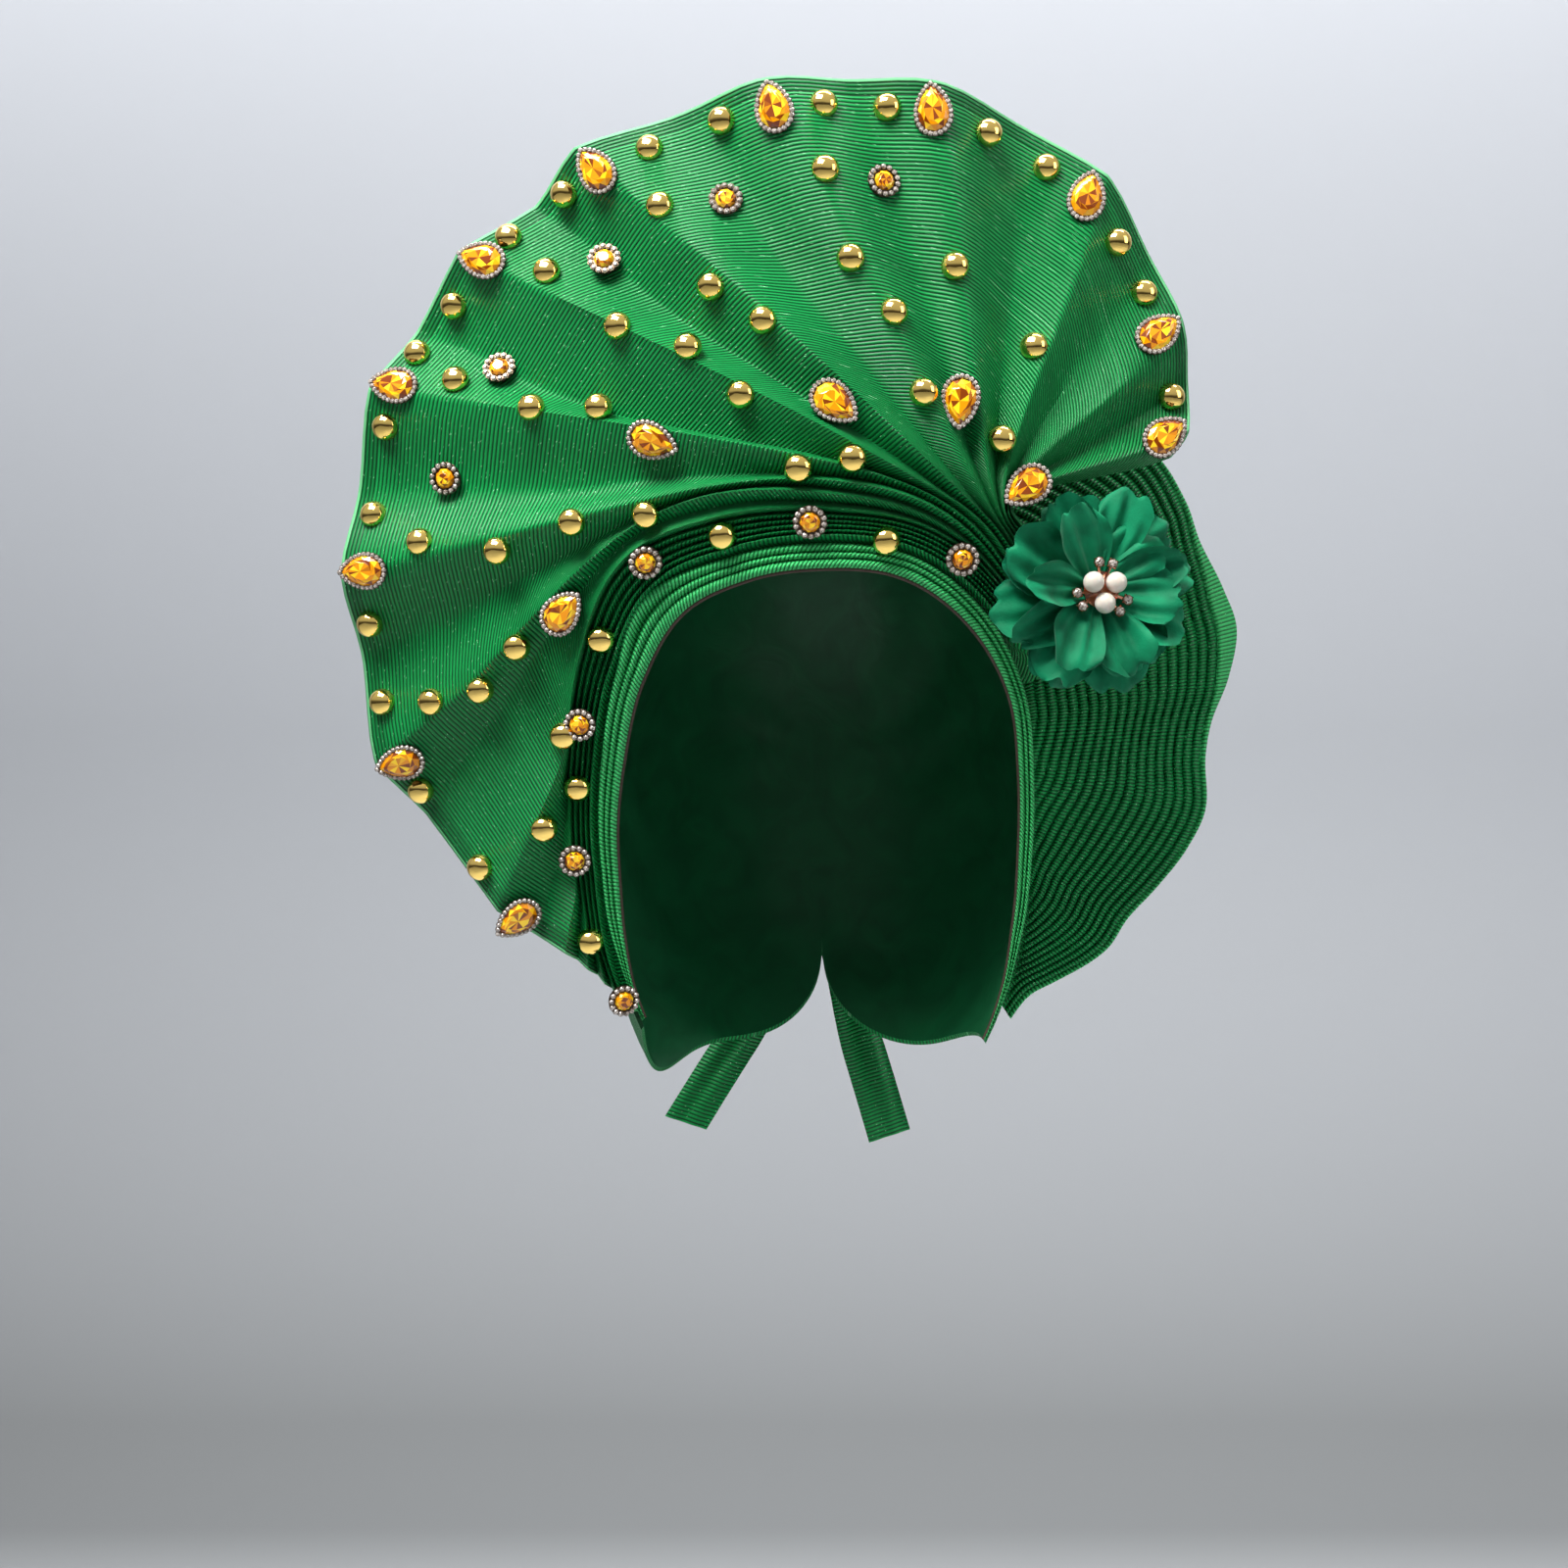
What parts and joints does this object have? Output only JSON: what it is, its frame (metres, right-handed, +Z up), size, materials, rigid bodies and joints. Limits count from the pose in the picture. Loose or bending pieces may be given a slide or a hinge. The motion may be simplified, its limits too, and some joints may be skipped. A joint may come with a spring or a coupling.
{
  "type": "tied gele head tie",
  "caption": "Tied gele of ribbed green cloth: a pleated standing fan with gold studs and amber stones, a ribbed side wing, a rolled face band, a close cap and a cloth flower with a pearl brooch.",
  "frame": {"origin": "inside top of the crown, where the head tie sits on the top of the head, on the head's vertical axis", "axes": "+Z up, the face opening looks along -Y, +X to the right as seen from the front"},
  "size_m": [0.3143, 0.2004, 0.3645],
  "materials": {
    "grosgrain": "corded emerald green grosgrain with a soft sheen",
    "band_cloth": "lighter green corded cloth",
    "chiffon": "creased bluish green chiffon",
    "rose_gold": "polished rose gold plate",
    "pearl": "white pearl coat",
    "amber_stone": "faceted amber stone in a silver brown setting of small clear stones"
  },
  "bodies": {
    "root": {"crown_cap": "grosgrain", "face_band": "band_cloth", "fan": "grosgrain", "side_wing": "grosgrain", "nape_tie": "grosgrain", "flower_petals_outer": "chiffon", "flower_petals_inner": "chiffon", "flower_brooch": "rose_gold", "pearl_1": "pearl", "pearl_2": "pearl", "pearl_3": "pearl", "teardrop_rim_1": "amber_stone", "teardrop_rim_2": "amber_stone", "teardrop_rim_3": "amber_stone", "teardrop_rim_4": "amber_stone", "teardrop_rim_5": "amber_stone", "teardrop_rim_6": "amber_stone", "teardrop_rim_7": "amber_stone", "teardrop_rim_8": "amber_stone", "teardrop_rim_9": "amber_stone", "teardrop_rim_10": "amber_stone", "teardrop_rim_11": "amber_stone", "teardrop_field_1": "amber_stone", "teardrop_field_2": "amber_stone", "teardrop_field_3": "amber_stone", "teardrop_field_4": "amber_stone", "teardrop_field_5": "amber_stone", "round_stone_upper_1": "amber_stone", "round_stone_upper_2": "amber_stone", "round_stone_upper_3": "amber_stone", "round_stone_upper_4": "amber_stone", "round_stone_upper_5": "amber_stone", "round_stone_brow_1": "amber_stone", "round_stone_brow_2": "amber_stone", "round_stone_brow_3": "amber_stone", "round_stone_cheek_1": "amber_stone", "round_stone_cheek_2": "amber_stone", "round_stone_cheek_3": "amber_stone"}
  },
  "joints": []
}
